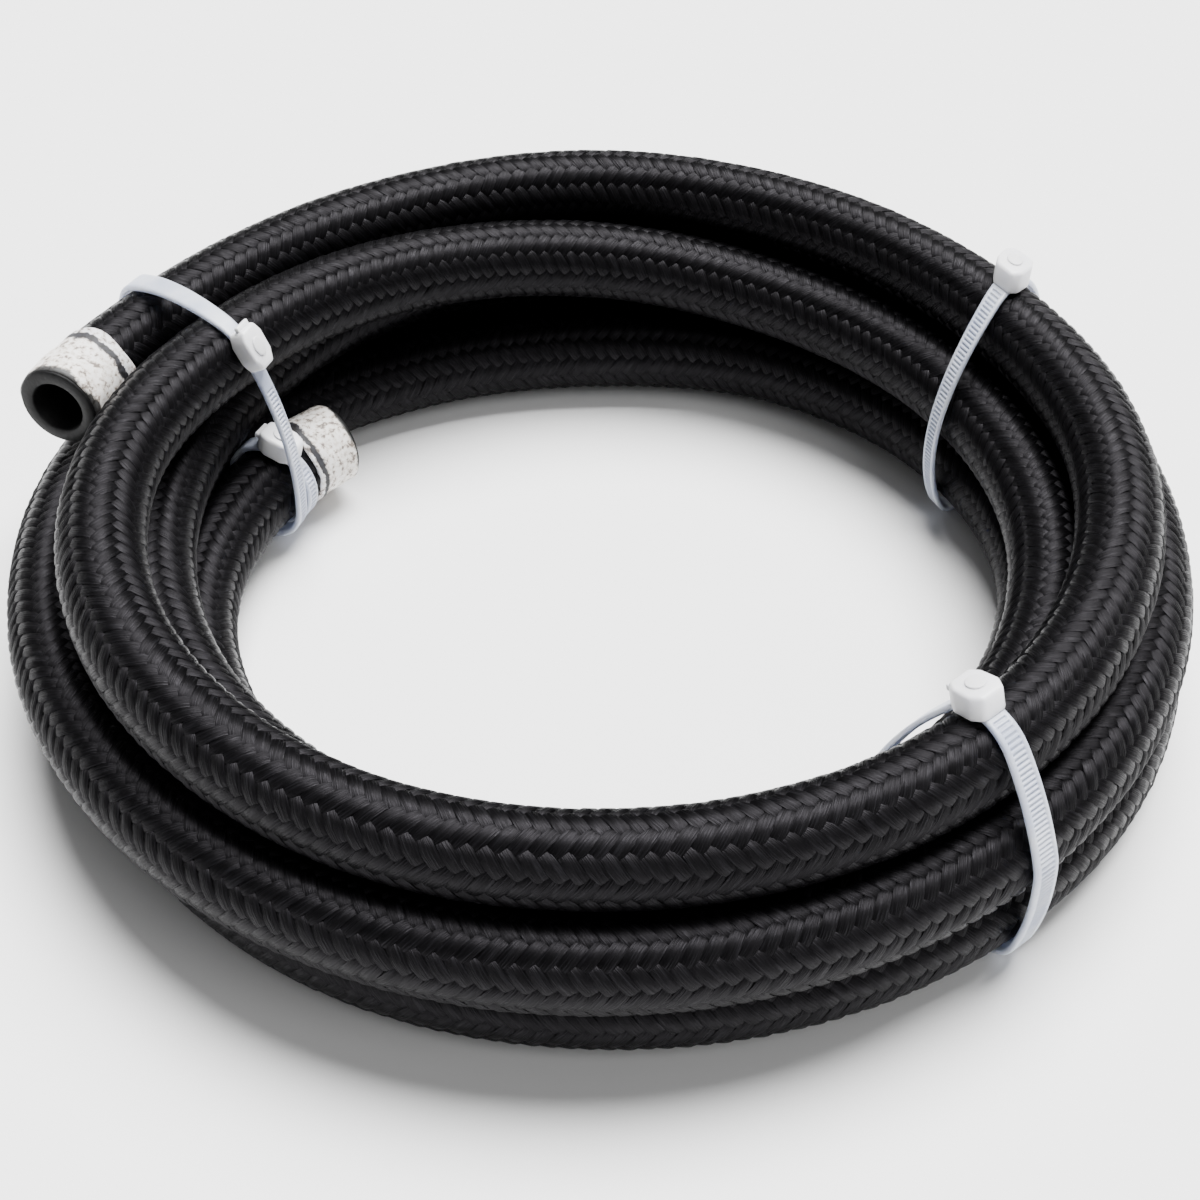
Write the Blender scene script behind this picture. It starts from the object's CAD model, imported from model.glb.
import math

import bmesh
import bpy
import numpy as np
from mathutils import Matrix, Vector


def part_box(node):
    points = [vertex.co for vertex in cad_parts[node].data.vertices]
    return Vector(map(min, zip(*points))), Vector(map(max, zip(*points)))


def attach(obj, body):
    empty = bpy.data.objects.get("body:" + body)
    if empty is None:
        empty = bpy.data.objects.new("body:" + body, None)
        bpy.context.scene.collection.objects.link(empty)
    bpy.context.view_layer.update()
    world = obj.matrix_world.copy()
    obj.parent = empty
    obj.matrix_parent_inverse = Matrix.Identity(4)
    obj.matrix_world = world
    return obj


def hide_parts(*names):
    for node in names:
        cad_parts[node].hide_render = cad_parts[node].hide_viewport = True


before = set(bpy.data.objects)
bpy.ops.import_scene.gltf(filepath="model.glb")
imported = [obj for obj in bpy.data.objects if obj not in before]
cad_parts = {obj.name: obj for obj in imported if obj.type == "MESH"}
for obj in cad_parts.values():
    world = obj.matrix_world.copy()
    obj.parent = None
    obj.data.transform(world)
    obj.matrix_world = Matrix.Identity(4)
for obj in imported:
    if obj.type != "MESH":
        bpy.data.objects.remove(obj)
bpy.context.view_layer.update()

MM = 0.001

# Driving sizes, in metres
HOSE_DIAMETER = 17 * MM
HOSE_RADIUS = HOSE_DIAMETER / 2
BORE_RADIUS = 5.5 * MM
BORE_DEPTH = 90 * MM
BRAID_DEPTH = 0.65 * MM
CARRIERS_EACH_WAY = 12
BRAID_LEAD = 37.5 * MM
STRAP_WIDTH = 4.7 * MM
STRAP_THICKNESS = 1.25 * MM
STRAP_CLEARANCE = 0.15 * MM
RIB_PITCH = 0.9 * MM
RIB_DEPTH = 0.3 * MM
HEAD_LENGTH = 8.8 * MM
HEAD_WIDTH = 8.0 * MM
HEAD_HEIGHT = 5.0 * MM
TAPE_THICKNESS = 0.35 * MM
TAPE_SETBACK = 0.7 * MM
OUTER_TAPE_WIDTH = 15.5 * MM
INNER_TAPE_WIDTH = 12 * MM

# Where the coil lies in the frame. The ties are measured from the circle of COIL_RADIUS.
RING_LOW, RING_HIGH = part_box("hose_coil")
RING_CENTRE = (RING_LOW + RING_HIGH) / 2
BOTTOM_ROW = RING_LOW.z + HOSE_RADIUS
COIL_INSET = 1 * MM
COIL_RADIUS = (RING_HIGH.x - RING_LOW.x) / 2 - HOSE_DIAMETER - COIL_INSET

# The camera as fitted to the photograph: its pixels, and the coil's centre on the picture
PHOTO_SIZE = 1200
FOCAL_PIXELS = 2290
SENSOR_WIDTH = 36
COIL_PIXEL = (601.2, 540.8)
CAMERA_ELEVATION = math.radians(40.96)
CAMERA_DISTANCE = 26.64 * HOSE_DIAMETER
AIM_HEIGHT = 0.866 * HOSE_DIAMETER

SEED = 7
random = np.random.default_rng(SEED)


def make_camera():
    """The camera of the photograph, in front of the coil and above it."""
    data = bpy.data.cameras.new("photo_camera")
    camera = bpy.data.objects.new("photo_camera", data)
    bpy.context.scene.collection.objects.link(camera)
    bpy.context.scene.camera = camera
    data.sensor_width = SENSOR_WIDTH
    data.lens = data.sensor_width * FOCAL_PIXELS / PHOTO_SIZE
    aim = Vector((RING_CENTRE.x, RING_CENTRE.y, BOTTOM_ROW + AIM_HEIGHT))
    back = Vector((0, -math.cos(CAMERA_ELEVATION), math.sin(CAMERA_ELEVATION)))
    camera.location = aim + CAMERA_DISTANCE * back
    tilt = math.atan((PHOTO_SIZE / 2 - COIL_PIXEL[1]) / FOCAL_PIXELS)
    turn = math.atan((COIL_PIXEL[0] - PHOTO_SIZE / 2) / FOCAL_PIXELS)
    camera.rotation_euler = (math.pi / 2 - CAMERA_ELEVATION - tilt, 0, turn)


make_camera()

# Route of the hose, clockwise from the outer tip: angle travelled, distance from the coil's
# axis and height above the bottom row, the last two in hose diameters
TIP_ANGLE = 168
OUTER_END = [(0, 6.56, 1.76), (16, 6.30, 1.75)]
STATION_STEP = 30
FIRST_STATION = 46
TOP_TURN = [(6.02, 1.84), (5.94, 1.90), (5.80, 1.90), (5.76, 1.87), (5.81, 1.88), (5.78, 1.85),
            (5.75, 1.83), (5.71, 1.80), (5.75, 1.83), (5.72, 1.97), (5.47, 2.00), (5.06, 1.91)]
MIDDLE_INNER_TURN = [(5.00, 1.66), (5.05, 1.37), (5.08, 1.10), (5.14, 1.00), (5.16, 0.99), (5.20, 0.96),
                     (5.24, 0.92), (5.22, 0.91), (5.14, 0.93), (5.11, 0.97), (5.16, 0.97), (5.32, 0.96)]
MIDDLE_OUTER_TURN = [(5.68, 0.91), (5.92, 0.91), (6.12, 0.96), (6.24, 0.99), (6.24, 0.99), (6.26, 0.99),
                     (6.26, 0.97), (6.28, 0.95), (6.30, 0.94), (6.30, 0.93), (6.30, 0.80), (6.44, 0.46)]
BOTTOM_OUTER_TURN = [(6.38, 0.12), (6.38, 0.00), (6.36, 0.00), (6.31, 0.00), (6.30, 0.00), (6.24, 0.00),
                     (6.09, 0.00), (5.97, 0.00), (5.93, 0.00), (5.83, 0.00), (5.76, 0.00), (5.54, 0.00)]
BOTTOM_INNER_TURN = [(5.10, 0.00), (4.93, 0.00), (5.14, 0.00), (5.26, 0.00), (5.22, 0.00), (4.86, 0.00),
                     (4.74, 0.00), (4.74, 0.00), (4.78, 0.00), (4.78, 0.02), (4.76, 0.06), (4.55, 0.10)]
INNER_END = [(1828, 4.42, 0.10)]
ROUTE_STEP = 1.0


def route_stations():
    """Every station as angle travelled, distance and height, one a row."""
    stations = list(OUTER_END)
    travelled = FIRST_STATION
    for turn in (TOP_TURN, MIDDLE_INNER_TURN, MIDDLE_OUTER_TURN, BOTTOM_OUTER_TURN, BOTTOM_INNER_TURN):
        for distance, height in turn:
            stations.append((travelled, distance, height))
            travelled += STATION_STEP
    return np.array(stations + INNER_END)


def smooth_through(knots, values, at):
    """A smooth line through values at the knots, read at each place in at."""
    slopes = np.gradient(values, knots)
    i = np.clip(np.searchsorted(knots, at, side="right") - 1, 0, len(knots) - 2)
    span = knots[i + 1] - knots[i]
    t = (at - knots[i]) / span
    return (values[i] * (1 + 2 * t) * (1 - t) ** 2 + slopes[i] * span * t * (1 - t) ** 2
            + values[i + 1] * t ** 2 * (3 - 2 * t) + slopes[i + 1] * span * t ** 2 * (t - 1))


def route_at(travelled):
    """Points of the hose's centreline at the given angles travelled from the outer tip."""
    stations = route_stations()
    distance = smooth_through(stations[:, 0], stations[:, 1], travelled) * HOSE_DIAMETER
    height = smooth_through(stations[:, 0], stations[:, 2], travelled) * HOSE_DIAMETER
    angle = np.radians(TIP_ANGLE - travelled)
    x = RING_CENTRE.x + distance * np.cos(angle)
    y = RING_CENTRE.y + distance * np.sin(angle)
    return np.stack([x, y, BOTTOM_ROW + height], axis=1)


class Line:
    """A centreline with a frame that turns with it as little as it can."""

    def __init__(self, points):
        self.points = points
        steps = np.linalg.norm(np.diff(points, axis=0), axis=1)
        self.along = np.concatenate([[0], np.cumsum(steps)])
        self.length = self.along[-1]
        self.tangent = np.gradient(points, self.along, axis=0)
        self.tangent /= np.linalg.norm(self.tangent, axis=1)[:, None]
        self.side = np.zeros_like(points)
        side = np.array([0.0, 0.0, 1.0])
        for i, tangent in enumerate(self.tangent):
            side = side - tangent * (side @ tangent)
            side = side / np.linalg.norm(side)
            self.side[i] = side
        self.up = np.cross(self.tangent, self.side)

    def read(self, values, along):
        """Values at distances along the line, from those at its points."""
        return np.stack([np.interp(along, self.along, values[:, k]) for k in range(3)], axis=1)

    def surface(self, along, angle, radius):
        """Points off the line: a distance along it, an angle round it and a distance from it."""
        along, angle, radius = np.broadcast_arrays(along, angle, radius)
        centre = self.read(self.points, along)
        side = self.read(self.side, along)
        up = self.read(self.up, along)
        return centre + radius[:, None] * (np.cos(angle)[:, None] * side + np.sin(angle)[:, None] * up)


LAST_TRAVEL = INNER_END[-1][0]
hose_line = Line(route_at(np.arange(0, LAST_TRAVEL + ROUTE_STEP / 2, ROUTE_STEP)))


def new_mesh(name, vertices, faces, uv=None):
    """A smooth object. uv, where given, places each vertex on a map called surface."""
    mesh = bpy.data.meshes.new(name)
    mesh.from_pydata(np.asarray(vertices).tolist(), [], [list(map(int, face)) for face in faces])
    if uv is not None:
        layer = mesh.uv_layers.new(name="surface")
        corner = np.zeros(len(mesh.loops), dtype=np.int32)
        mesh.loops.foreach_get("vertex_index", corner)
        layer.data.foreach_set("uv", uv[corner].astype(np.float32).ravel())
    mesh.polygons.foreach_set("use_smooth", [True] * len(mesh.polygons))
    mesh.update()
    piece = bpy.data.objects.new(name, mesh)
    bpy.context.scene.collection.objects.link(piece)
    return piece


def ring_faces(rings, around, closed=False):
    """Quads between closed rings of vertices, and from the last ring to the first where closed."""
    faces = []
    for ring in range(rings if closed else rings - 1):
        low, high = ring * around, (ring + 1) % rings * around
        for k in range(around):
            after = (k + 1) % around
            faces.append((low + k, low + after, high + after, high + k))
    return faces


CORE_SIDES = 32
CORE_STEP = 3 * MM
CORE_RADIUS = HOSE_RADIUS - BRAID_DEPTH
BARE_LIP = 0.7 * MM
SOFT_EDGE = 0.35 * MM
BORE_RINGS = 24


def make_core():
    """The rubber hose under its braid: bored from each end, with a bare lip at each cut."""
    length = hose_line.length
    steps = int(length / CORE_STEP)
    body = [(along, CORE_RADIUS) for along in np.linspace(2 * BARE_LIP, length - 2 * BARE_LIP, steps)]
    lip = [(0, BORE_RADIUS + SOFT_EDGE), (0, HOSE_RADIUS - SOFT_EDGE), (SOFT_EDGE, HOSE_RADIUS),
           (BARE_LIP, HOSE_RADIUS), (BARE_LIP + SOFT_EDGE, CORE_RADIUS)]
    bore = [(depth, BORE_RADIUS) for depth in np.linspace(SOFT_EDGE, BORE_DEPTH, BORE_RINGS)]
    bore.append((BORE_DEPTH, SOFT_EDGE))
    near = bore[::-1] + lip
    far = [(length - along, radius) for along, radius in near[::-1]]
    rings = near + body + far
    angle = np.arange(CORE_SIDES) * 2 * math.pi / CORE_SIDES
    vertices = np.concatenate([hose_line.surface(along, angle, radius) for along, radius in rings])
    faces = ring_faces(len(rings), CORE_SIDES)
    last = (len(rings) - 1) * CORE_SIDES
    faces.append(tuple(reversed(range(CORE_SIDES))))
    faces.append(tuple(range(last, last + CORE_SIDES)))
    return new_mesh("hose_core", vertices, faces)


# A float is the stretch where one tow lies over the others. Floats that run the same way lie
# side by side in columns along the hose, and the two directions take every other column.
TOOTH_STEP = BRAID_LEAD / CARRIERS_EACH_WAY
ROUND_STEP = 2 * math.pi * HOSE_RADIUS / CARRIERS_EACH_WAY
TOW_RUN = math.hypot(TOOTH_STEP, ROUND_STEP)
TOW_WIDTH = TOOTH_STEP * ROUND_STEP / TOW_RUN
FLOAT_ALONG = np.array([-1.16, -0.8, 0.0, 0.8, 1.16])
FLOAT_ACROSS = np.array([-1.0, -0.55, 0.0, 0.55, 1.0])
# Where the floats of each hand begin, in columns round the hose and in teeth along it
FIRST_COLUMN = {1: 0.25, -1: 1.25}
FIRST_TOOTH = {1: 0.75, -1: 1.25}
# A float's width against its tow's, its rounded back, and how its ends dive under the next tows
FLOAT_WIDTH = 1.03
FLOAT_TAPER = 0.03
CROWN_DROP = 0.26 * MM
CROWN_CURVE = 3
DIVE_FROM = 0.62
DIVE_DEPTH = 1.0 * MM
DIVE_CURVE = 1.2
# How much the floats differ from one another
LEAN_SPREAD = 0.035
WIDTH_SPREAD = 0.03
HEIGHT_SPREAD = 0.03 * MM
SHADE_SPREAD = 50
CUT_MARGIN = 0.1 * MM


def make_braid(name, hand):
    """All floats of the tows that wind one way, hand being 1 or -1."""
    teeth = int(hose_line.length / TOOTH_STEP) - 1
    columns = np.arange(CARRIERS_EACH_WAY // 2) * 2 + FIRST_COLUMN[hand]
    tooth = np.arange(teeth) + FIRST_TOOTH[hand]
    tooth_at, column_at = (grid.ravel() for grid in np.meshgrid(tooth, columns, indexing="ij"))
    count = len(tooth_at)
    a, b = (grid.ravel() for grid in np.meshgrid(FLOAT_ALONG, FLOAT_ACROSS, indexing="ij"))
    lean = random.normal(0, LEAN_SPREAD, (count, 1))
    spread = 1 + random.normal(0, WIDTH_SPREAD, (count, 1))
    width = TOW_WIDTH / 2 * (FLOAT_WIDTH - FLOAT_TAPER * a ** 2) * spread
    run = np.broadcast_to(TOW_RUN / 2 * a, width.shape)
    cross = width * b + lean * run
    axial = (run * TOOTH_STEP + cross * ROUND_STEP) / TOW_RUN
    around = hand * (run * ROUND_STEP - cross * TOOTH_STEP) / TOW_RUN
    along = tooth_at[:, None] * TOOTH_STEP + axial
    angle = (column_at[:, None] * ROUND_STEP + around) / HOSE_RADIUS
    crown = CROWN_DROP * np.abs(b) ** CROWN_CURVE
    dive = DIVE_DEPTH * np.clip(np.abs(a) - DIVE_FROM, 0, None) ** DIVE_CURVE
    radius = HOSE_RADIUS - crown - dive + random.normal(0, HEIGHT_SPREAD, (count, 1))
    along = np.clip(along, CUT_MARGIN, hose_line.length - CUT_MARGIN)
    vertices = hose_line.surface(along.ravel(), angle.ravel(), radius.ravel())
    cell = []
    rows, cols = len(FLOAT_ALONG), len(FLOAT_ACROSS)
    for i in range(rows - 1):
        for j in range(cols - 1):
            corners = (i * cols + j, i * cols + j + 1, (i + 1) * cols + j + 1, (i + 1) * cols + j)
            cell.append(corners if hand < 0 else corners[::-1])
    starts = np.arange(count) * rows * cols
    faces = (starts[:, None, None] + np.array(cell)[None]).reshape(-1, 4)
    shift = random.uniform(0, SHADE_SPREAD, (count, 1))
    uv = np.stack([(b + shift).ravel(), (a + shift).ravel()], axis=1)
    return new_mesh(name, vertices, faces, uv=uv)


# Colours and roughnesses, each at its place on the noise that picks it
FILAMENT_COLOURS = [(0.35, (0.0004, 0.0004, 0.0004)), (0.52, (0.0014, 0.0013, 0.0015)),
                    (0.68, (0.007, 0.0068, 0.0078))]
FILAMENT_ROUGHNESS = [(0.38, (0.60,)), (0.64, (0.36,))]
RUBBER_COLOURS = [(0.3, (0.0015, 0.0015, 0.0015)), (0.7, (0.006, 0.006, 0.0065))]
TAPE_ZONES = [(0.16, (0.05, 0.05, 0.05)), (0.21, (0.80, 0.77, 0.73)), (0.60, (0.86, 0.84, 0.81)),
              (0.84, (0.80, 0.78, 0.76)), (0.88, (0.02, 0.02, 0.025)), (0.98, (0.02, 0.02, 0.025)),
              (1.0, (0.72, 0.72, 0.74))]
TAPE_DIRT = [(0.38, (0.20, 0.17, 0.15)), (0.45, (0.78, 0.73, 0.68)), (0.56, (1.0, 1.0, 1.0))]
# Nylon where it looks thin and where it looks thick
STRAP_TONES = (0.58, 0.63, 0.78), (0.76, 0.80, 0.90)
HEAD_TONES = (0.80, 0.80, 0.84), (0.88, 0.88, 0.90)
GROOVE_TONES = (0.38, 0.41, 0.50), (0.46, 0.49, 0.58)
NYLON_STOPS = 0.35, 0.65
STRAP_CLEARNESS = 0.3
# How far along and across a tow the filaments are stretched, and what they and wear give the gloss
FILAMENT_STRETCH = (3.4, 0.3, 1)
FILAMENT_SHARE = 0.65
WEAR_SHARE = 0.35
# How far the tape's smudges stray from a straight edge
SMEAR_REACH = 0.30
WANDER_REACH = 0.45
WANDER_MIDDLE = 0.26
# Sockets of a colour mix node, whose names its other kinds share
MIX_FIRST, MIX_SECOND, MIX_RESULT = 6, 7, 2
NEW_STOP = 0.5


def material(name):
    """A new material, its node tree and its shader."""
    made = bpy.data.materials.new(name)
    made.use_nodes = True
    return made, made.node_tree, made.node_tree.nodes["Principled BSDF"]


def set_shader(shader, settings):
    """Sets what is the same all over a surface."""
    for socket, value in settings.items():
        shader.inputs[socket].default_value = value


def add_node(tree, kind, **settings):
    """A node whose inputs and properties are set by name."""
    node = tree.nodes.new(kind)
    for key, value in settings.items():
        if key in node.inputs:
            node.inputs[key].default_value = value
        else:
            setattr(node, key, value)
    return node


def noise(tree, place, **settings):
    """The level of a noise at each place."""
    node = add_node(tree, "ShaderNodeTexNoise", **settings)
    tree.links.new(place, node.inputs["Vector"])
    return node.outputs["Fac"]


def ramp(tree, level, stops):
    """The colour or grey for a level, from a list of levels and what each gives."""
    node = tree.nodes.new("ShaderNodeValToRGB")
    elements = node.color_ramp.elements
    while len(elements) < len(stops):
        elements.new(NEW_STOP)
    for element, (place, colour) in zip(elements, stops):
        element.position = place
        element.color = (*colour, 1) if len(colour) == 3 else (colour[0],) * 3 + (1,)
    tree.links.new(level, node.inputs["Fac"])
    return node.outputs["Color"]


def arithmetic(tree, operation, *terms):
    """What an operation makes of its terms, each a level or a plain number."""
    node = add_node(tree, "ShaderNodeMath", operation=operation)
    for socket, term in zip(node.inputs, terms):
        if isinstance(term, float):
            socket.default_value = term
        else:
            tree.links.new(term, socket)
    return node.outputs[0]


def add_bump(tree, shader, height, strength, distance):
    """Fine relief in the shading alone."""
    bump = add_node(tree, "ShaderNodeBump", Strength=strength, Distance=distance)
    tree.links.new(height, bump.inputs["Height"])
    tree.links.new(bump.outputs["Normal"], shader.inputs["Normal"])


def braid_material():
    """Black nylon filaments that run along each tow and shine across it."""
    made, tree, shader = material("black_nylon_braid")
    coordinates = add_node(tree, "ShaderNodeTexCoord")
    stretch = add_node(tree, "ShaderNodeMapping", Scale=FILAMENT_STRETCH)
    tree.links.new(coordinates.outputs["UV"], stretch.inputs["Vector"])
    filaments = noise(tree, stretch.outputs["Vector"], Scale=1.6, Detail=3)
    tree.links.new(ramp(tree, filaments, FILAMENT_COLOURS), shader.inputs["Base Color"])
    wear = noise(tree, coordinates.outputs["Object"], Scale=260, Detail=5)
    some_wear = arithmetic(tree, "MULTIPLY", wear, WEAR_SHARE)
    gloss = arithmetic(tree, "MULTIPLY_ADD", filaments, FILAMENT_SHARE, some_wear)
    tree.links.new(ramp(tree, gloss, FILAMENT_ROUGHNESS), shader.inputs["Roughness"])
    add_bump(tree, shader, filaments, strength=0.8, distance=0.3 * MM)
    across_tow = add_node(tree, "ShaderNodeTangent", direction_type="UV_MAP", uv_map="surface")
    tree.links.new(across_tow.outputs["Tangent"], shader.inputs["Tangent"])
    set_shader(shader, {"Anisotropic": 0.7, "Specular IOR Level": 0.12, "Specular Tint": (0.96, 0.91, 1.0, 1)})
    return made


def rubber_material():
    """Black rubber with a fine grain."""
    made, tree, shader = material("black_rubber")
    coordinates = add_node(tree, "ShaderNodeTexCoord")
    grain = noise(tree, coordinates.outputs["Object"], Scale=900, Detail=4)
    tree.links.new(ramp(tree, grain, RUBBER_COLOURS), shader.inputs["Base Color"])
    add_bump(tree, shader, grain, strength=0.6, distance=0.2 * MM)
    set_shader(shader, {"Roughness": 0.6, "Specular IOR Level": 0.2})
    return made


def tape_material():
    """White tape gone grubby: specks all over and a dark smudge near its inboard edge."""
    made, tree, shader = material("grubby_white_tape")
    coordinates = add_node(tree, "ShaderNodeTexCoord")
    place = coordinates.outputs["Object"]
    specks = noise(tree, place, Scale=900, Detail=5, Roughness=0.6)
    smears = noise(tree, place, Scale=260, Detail=6, Roughness=0.7)
    wander = noise(tree, place, Scale=75, Detail=3)
    split = add_node(tree, "ShaderNodeSeparateXYZ")
    tree.links.new(coordinates.outputs["UV"], split.inputs["Vector"])
    ragged = arithmetic(tree, "MULTIPLY_ADD", smears, SMEAR_REACH, split.outputs["Y"])
    strayed = arithmetic(tree, "MULTIPLY_ADD", wander, WANDER_REACH, ragged)
    from_tip = arithmetic(tree, "SUBTRACT", strayed, WANDER_MIDDLE)
    both = add_node(tree, "ShaderNodeMix", data_type="RGBA", blend_type="MULTIPLY")
    both.inputs["Factor"].default_value = 1
    tree.links.new(ramp(tree, from_tip, TAPE_ZONES), both.inputs[MIX_FIRST])
    tree.links.new(ramp(tree, specks, TAPE_DIRT), both.inputs[MIX_SECOND])
    tree.links.new(both.outputs[MIX_RESULT], shader.inputs["Base Color"])
    add_bump(tree, shader, smears, strength=0.7, distance=0.4 * MM)
    set_shader(shader, {"Roughness": 0.62})
    return made


def nylon_material(name, tones, clearness=0.0):
    """Milky nylon, from its colour where it looks thin to where it looks thick."""
    made, tree, shader = material(name)
    coordinates = add_node(tree, "ShaderNodeTexCoord")
    cloud = noise(tree, coordinates.outputs["Object"], Scale=160, Detail=3)
    tree.links.new(ramp(tree, cloud, list(zip(NYLON_STOPS, tones))), shader.inputs["Base Color"])
    fine = noise(tree, coordinates.outputs["Object"], Scale=1500, Detail=2)
    add_bump(tree, shader, fine, strength=0.15, distance=0.1 * MM)
    set_shader(shader, {"Roughness": 0.34, "Transmission Weight": clearness, "Subsurface Weight": 0.35,
                        "Subsurface Radius": (0.002, 0.002, 0.0022), "Subsurface Scale": 1.0})
    return made


WRAP_SIDES = 96
WRAP_RINGS = 22
# The free end of the tape: its place round the hose in radians, how steep it is and how high
OVERLAP_PLACE = 2.2
OVERLAP_STEEPNESS = 6
OVERLAP_CUT = 5.0
OVERLAP_HEIGHT = 0.18 * MM
# Ripples of the tape, from the longest, and the one of them that runs straight along the hose
RIPPLES = 6
LONGEST_RIPPLE = 3
STRAIGHT_RIPPLE = 2
RIPPLE_SPIN = 5
RIPPLE_HEIGHT = 0.045 * MM
# The inboard edge, and how thin and how deep the tape is at its edges
TORN_DEPTH = 0.35 * MM
TORN_WAVES = 5
EDGE_SHARE = 0.55
EDGE_SINK = 0.3 * MM


def make_wrap(name, tip_along, inward, width):
    """Tape wound round a cut end. inward is 1 where the hose runs on in the line's direction."""
    angle = np.arange(WRAP_SIDES) * 2 * math.pi / WRAP_SIDES
    overlap = np.clip(np.cos(angle - OVERLAP_PLACE) * OVERLAP_STEEPNESS - OVERLAP_CUT, 0, 1)
    phases = random.uniform(0, 2 * math.pi, RIPPLES)
    last_ring = WRAP_RINGS - 1
    vertices = []
    for i in range(WRAP_RINGS):
        t = i / last_ring
        ripple = sum(np.sin((k + LONGEST_RIPPLE) * angle + phases[k] + RIPPLE_SPIN * t * (k - STRAIGHT_RIPPLE))
                     for k in range(RIPPLES))
        edge = TORN_DEPTH * np.sin(TORN_WAVES * angle + phases[0]) if i == last_ring else 0
        along = tip_along + inward * (TAPE_SETBACK + width * t + edge)
        thickness = TAPE_THICKNESS * (EDGE_SHARE if i in (0, last_ring) else 1)
        radius = HOSE_RADIUS + thickness + OVERLAP_HEIGHT * overlap + RIPPLE_HEIGHT * ripple
        vertices.append(hose_line.surface(along, angle, radius))
    for i in (last_ring, 0):
        along = tip_along + inward * (TAPE_SETBACK + width * i / last_ring)
        vertices.append(hose_line.surface(along, angle, HOSE_RADIUS - EDGE_SINK))
    from_tip = np.concatenate([np.linspace(0, 1, WRAP_RINGS), [1, 0]])
    faces = ring_faces(len(from_tip), WRAP_SIDES, closed=True)
    if inward < 0:
        faces = [face[::-1] for face in faces]
    uv = np.stack([np.tile(angle / (2 * math.pi), len(from_tip)), np.repeat(from_tip, WRAP_SIDES)], axis=1)
    return new_mesh(name, np.concatenate(vertices), faces, uv=uv)


TRAVEL_STEP = 0.5
BAND_SAMPLES = 720
STEPS_A_RIB = 4
SLOPE_REACH = 2


def turns_at(angle, slant):
    """Where the hose passes a tie: offset from the coil's radius and height, for each pass."""
    travel = np.arange(0, LAST_TRAVEL, TRAVEL_STEP)
    points = route_at(travel)
    flat = points[:, :2] - np.array([RING_CENTRE.x, RING_CENTRE.y])
    offset = np.linalg.norm(flat, axis=1) - COIL_RADIUS
    tie_angle = angle + np.degrees(slant * offset / COIL_RADIUS)
    turned = (TIP_ANGLE - travel - tie_angle) / 360
    found = []
    for i in range(len(travel) - 1):
        if math.floor(turned[i]) != math.floor(turned[i + 1]):
            found.append(np.array([offset[i], points[i, 2]]))
    return found


def band(centres, distance, rounding):
    """A stiff strap round some turns: its points and outward directions, evenly spaced.

    It is drawn from how far it reaches in each direction, averaged over the directions near by,
    which rounds its flat stretches and keeps it convex.
    """
    at = np.linspace(0, 2 * math.pi, BAND_SAMPLES, endpoint=False)
    facing = np.stack([np.cos(at), np.sin(at)], axis=1)
    beside = np.stack([-np.sin(at), np.cos(at)], axis=1)
    tight = np.max(np.array(centres) @ facing.T, axis=0)
    eased = np.mean([np.roll(tight, k) for k in range(-rounding, rounding + 1)], axis=0)
    eased += distance + np.max(tight - eased)
    slope = (np.roll(eased, -1) - np.roll(eased, 1)) / (2 * at[1])
    loop = eased[:, None] * facing + slope[:, None] * beside
    loop[:, 1] = np.maximum(loop[:, 1], STRAP_THICKNESS)
    loop = np.concatenate([loop, loop[:1]])
    walked = np.concatenate([[0], np.cumsum(np.linalg.norm(np.diff(loop, axis=0), axis=1))])
    steps = STEPS_A_RIB * int(walked[-1] / RIB_PITCH)
    place = np.arange(steps) * walked[-1] / steps
    even = np.stack([np.interp(place, walked, loop[:, k]) for k in range(2)], axis=1)
    ahead = np.roll(even, -SLOPE_REACH, axis=0) - np.roll(even, SLOPE_REACH, axis=0)
    ahead /= np.linalg.norm(ahead, axis=1)[:, None]
    return even, np.stack([ahead[:, 1], -ahead[:, 0]], axis=1)


def round_coil(points, angle, slant):
    """Bends points given as offset, height and distance clockwise round the coil."""
    offset, height, clockwise = points.T
    turned = math.radians(angle) + (slant * offset - clockwise) / COIL_RADIUS
    radius = COIL_RADIUS + offset
    x = RING_CENTRE.x + radius * np.cos(turned)
    y = RING_CENTRE.y + radius * np.sin(turned)
    return np.stack([x, y, height], axis=1)


STRAP_EDGE = 0.3 * MM
# How far the ribs, and the floor of the grooves between them, stay from the strap's sides
RIB_INSET = 0.9 * MM
GROOVE_INSET = 1.0 * MM
# Which of the strap's faces, counted round its section, is the floor of the grooves
RIBBED_FACE = 6


def strap_mesh(even, outward, grooved):
    """The strap's own shape: rounded edges, and a groove between ribs at each grooved step."""
    half, thick, soft = STRAP_WIDTH / 2, STRAP_THICKNESS, STRAP_EDGE
    rib, floor = half - RIB_INSET, half - GROOVE_INSET
    sink = np.where(grooved, RIB_DEPTH, 0.0)
    section = [(-half + soft, 0, 0), (half - soft, 0, 0), (half, soft, 0), (half, thick - soft, 0),
               (half - soft, thick, 0), (rib, thick, 0), (floor, thick, 1), (-floor, thick, 1),
               (-rib, thick, 0), (-half + soft, thick, 0), (-half, thick - soft, 0), (-half, soft, 0)]
    vertices = []
    for i in range(len(even)):
        for across, out, sinks in section:
            place = even[i] + outward[i] * (out - sinks * sink[i])
            vertices.append((place[0], place[1], across))
    return np.array(vertices), ring_faces(len(even), len(section), closed=True)


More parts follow.
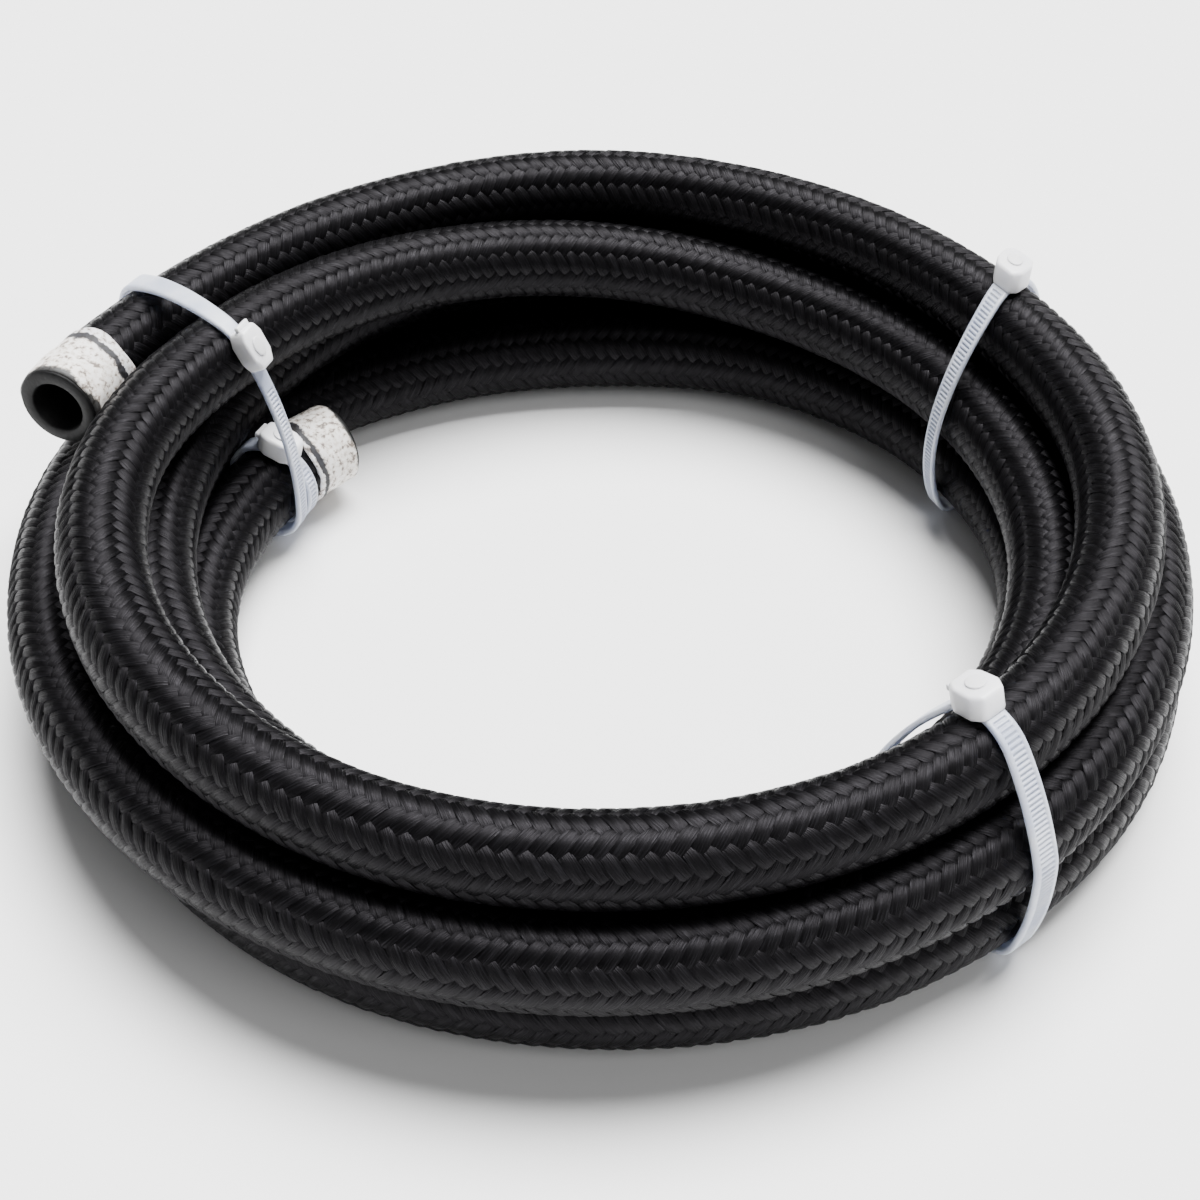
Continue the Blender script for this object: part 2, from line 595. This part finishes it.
def bevelled(outline, low, high, bevel):
    """A block raised from an outline in the x-z plane, with its edges rounded."""
    shape = bmesh.new()
    base = shape.faces.new([shape.verts.new((x, low, z)) for x, z in outline])
    raised = bmesh.ops.extrude_face_region(shape, geom=[base])
    tops = [item for item in raised["geom"] if isinstance(item, bmesh.types.BMVert)]
    bmesh.ops.translate(shape, verts=tops, vec=(0, high - low, 0))
    bmesh.ops.recalc_face_normals(shape, faces=shape.faces)
    bmesh.ops.bevel(shape, geom=list(shape.edges), offset=bevel, segments=3, profile=0.5, affect="EDGES")
    bmesh.ops.recalc_face_normals(shape, faces=shape.faces)
    shape.verts.index_update()
    vertices = np.array([vertex.co[:] for vertex in shape.verts])
    faces = [tuple(vertex.index for vertex in face.verts) for face in shape.faces]
    shape.free()
    return vertices, faces


# Outline of a head seen from above, in shares of its length and width, its neck at the low end
HEAD_OUTLINE = [(-0.5, 0.31), (-0.5, -0.31), (-0.22, -0.5), (0.24, -0.5), (0.5, -0.34),
                (0.5, 0.34), (0.24, 0.5), (-0.22, 0.5)]
HEAD_BEVEL = 0.8 * MM
TAIL_STUB = 1.0 * MM
TAIL_RISE = 2.6 * MM
TAIL_BEVEL = 0.3 * MM
KNOB_SIDES = 14
KNOB_RADIUS = 2.0 * MM
KNOB_RISE = 0.4 * MM
KNOB_BEVEL = 0.2 * MM


def head_mesh(place, outward, neck):
    """The head with the trimmed tail that stands out of it. neck is 1 or -1, the side it points to."""
    block = [(-neck * x * HEAD_LENGTH, z * HEAD_WIDTH) for x, z in HEAD_OUTLINE]
    tail_end = -neck * (HEAD_LENGTH / 2 + TAIL_STUB)
    half = STRAP_WIDTH / 2
    tail = [(0, -half), (tail_end, -half), (tail_end, half), (0, half)]
    ring = np.linspace(0, 2 * math.pi, KNOB_SIDES, endpoint=False)
    knob = [(KNOB_RADIUS * math.cos(angle), KNOB_RADIUS * math.sin(angle)) for angle in ring]
    vertices, faces = join_parts([
        bevelled(block, 0, HEAD_HEIGHT, HEAD_BEVEL),
        bevelled(tail, TAIL_RISE, TAIL_RISE + STRAP_THICKNESS, TAIL_BEVEL),
        bevelled(knob, HEAD_HEIGHT - KNOB_RISE, HEAD_HEIGHT + KNOB_RISE, KNOB_BEVEL),
    ])
    x = place[0] + vertices[:, 0] * outward[1] + vertices[:, 1] * outward[0]
    y = place[1] - vertices[:, 0] * outward[0] + vertices[:, 1] * outward[1]
    return np.stack([x, y, vertices[:, 2]], axis=1), faces


def join_parts(parts):
    """One list of vertices and one of faces from several."""
    vertices, faces, start = [], [], 0
    for some_vertices, some_faces in parts:
        vertices.append(some_vertices)
        faces += [tuple(k + start for k in face) for face in some_faces]
        start += len(some_vertices)
    return np.concatenate(vertices), faces


# Which finish each face of a tie takes
STRAP_FINISH, HEAD_FINISH, GROOVE_FINISH = range(3)


def make_tie(name, choose, angle, slant, direction, neck, rounding):
    """A tie round the passes that choose picks, with its head over the pass it names."""
    centres, seat = choose(turns_at(angle, slant))
    even, outward = band(centres, HOSE_RADIUS + STRAP_CLEARANCE, rounding)
    facing = np.array([math.cos(math.radians(direction)), math.sin(math.radians(direction))])
    from_seat = even - seat
    at = int(np.argmax(from_seat @ facing / np.linalg.norm(from_seat, axis=1)))
    ribbed = neck * (even[:, 0] - even[at, 0]) > HEAD_LENGTH / 2
    grooved = ribbed & (np.arange(len(even)) % STEPS_A_RIB >= STEPS_A_RIB // 2)
    strap = strap_mesh(even, outward, grooved)
    vertices, faces = join_parts([strap, head_mesh(even[at], outward[at], neck)])
    tie = new_mesh(name, round_coil(vertices, angle, slant), faces)
    strap_faces = len(strap[1])
    floor_faces = np.arange(len(even)) * (strap_faces // len(even)) + RIBBED_FACE
    finish = np.full(len(faces), HEAD_FINISH, dtype=np.int32)
    finish[:strap_faces] = STRAP_FINISH
    finish[floor_faces[grooved]] = GROOVE_FINISH
    smooth = np.ones(len(faces), dtype=bool)
    smooth[floor_faces[ribbed]] = False
    tie.data.polygons.foreach_set("material_index", finish)
    tie.data.polygons.foreach_set("use_smooth", smooth)
    return tie


def all_turns(passes):
    """Every pass, the head over the highest."""
    return passes, max(passes, key=lambda place: place[1])


def inner_top_turn(passes):
    """Every pass, the head over the inner of the two highest."""
    upper = sorted(passes, key=lambda place: -place[1])[:2]
    return passes, min(upper, key=lambda place: place[0])


def inner_end_only(passes):
    """The pass nearest the coil's axis, with the head over it."""
    last = min(passes, key=lambda place: place[0])
    return [last], last


def dress(piece, slot, *finishes):
    """Gives a piece its materials, its body and its slot."""
    for finish in finishes:
        piece.data.materials.append(finish)
    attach(piece, "root")


# Each tie's place round the coil and the way its head faces, in degrees, its lean, the side its
# neck points to, and over how many samples each way its band is rounded
LEFT_TIE = dict(angle=152.6, slant=-0.28, direction=148, neck=-1, rounding=38)
INNER_END_TIE = dict(angle=153.5, slant=0, direction=104, neck=-1, rounding=20)
BACK_RIGHT_TIE = dict(angle=31, slant=0.42, direction=80, neck=-1, rounding=40)
FRONT_RIGHT_TIE = dict(angle=311.5, slant=-0.1, direction=108, neck=1, rounding=20)

core = make_core()
braid_right = make_braid("hose_braid_right_hand", 1)
braid_left = make_braid("hose_braid_left_hand", -1)
outer_wrap = make_wrap("outer_end_tape", 0, 1, OUTER_TAPE_WIDTH)
inner_wrap = make_wrap("inner_end_tape", hose_line.length, -1, INNER_TAPE_WIDTH)
left_tie = make_tie("left_cable_tie", inner_top_turn, **LEFT_TIE)
inner_tie = make_tie("inner_end_cable_tie", inner_end_only, **INNER_END_TIE)
back_tie = make_tie("back_right_cable_tie", all_turns, **BACK_RIGHT_TIE)
front_tie = make_tie("front_right_cable_tie", all_turns, **FRONT_RIGHT_TIE)

dress(core, "hose", rubber_material())
nylon_braid = braid_material()
dress(braid_right, "hose", nylon_braid)
dress(braid_left, "hose", nylon_braid)
tape = tape_material()
dress(outer_wrap, "tape", tape)
dress(inner_wrap, "tape", tape)
strap_nylon = nylon_material("milky_nylon_strap", STRAP_TONES, clearness=STRAP_CLEARNESS)
head_nylon = nylon_material("milky_nylon_head", HEAD_TONES)
groove_nylon = nylon_material("milky_nylon_groove", GROOVE_TONES)
for tie in (left_tie, inner_tie, back_tie, front_tie):
    dress(tie, "tie", strap_nylon, head_nylon, groove_nylon)

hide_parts("hose_coil", "hose_end_outer", "hose_end_inner")
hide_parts("end_wrap_outer")
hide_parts("end_wrap_inner")
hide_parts("tie_left")
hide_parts("tie_inner_end")
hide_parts("tie_back_right")
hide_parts("tie_front_right")


FLOOR_HALF = 6.0
FLOOR_FINISH = {"Base Color": (0.92, 0.92, 0.92, 1), "Roughness": 0.9}
WORLD_LIGHT = {"Color": (1, 1, 1, 1), "Strength": 0.2}
# Where each light stands, its strength, and how wide it looks in degrees
KEY_LIGHT = dict(place=(0.22, 0.42, 1.2), strength=13.5, angle=44)
FILL_LIGHT = dict(place=(0.6, -0.7, 0.9), strength=0.8, angle=35)


def make_floor():
    """The pale ground that the coil lies on, for the pictures alone."""
    half = FLOOR_HALF
    corners = [(-half, -half, 0), (half, -half, 0), (half, half, 0), (-half, half, 0)]
    floor = new_mesh("floor", corners, [(0, 1, 2, 3)])
    made, _, shader = material("pale_floor")
    set_shader(shader, FLOOR_FINISH)
    floor.data.materials.append(made)


def add_soft_light(name, place, strength, angle):
    """A distant soft light, so that the floor is lit evenly."""
    data = bpy.data.lights.new(name, "SUN")
    data.energy = strength
    data.angle = math.radians(angle)
    light = bpy.data.objects.new(name, data)
    light.location = place
    light.rotation_euler = (-Vector(place)).to_track_quat("-Z", "Y").to_euler()
    bpy.context.scene.collection.objects.link(light)


def make_light():
    """Light from all round, a strong soft light from behind and above, and a weak one in front."""
    world = bpy.data.worlds.new("studio")
    bpy.context.scene.world = world
    world.use_nodes = True
    set_shader(world.node_tree.nodes["Background"], WORLD_LIGHT)
    add_soft_light("key", **KEY_LIGHT)
    add_soft_light("fill", **FILL_LIGHT)


make_floor()
make_light()
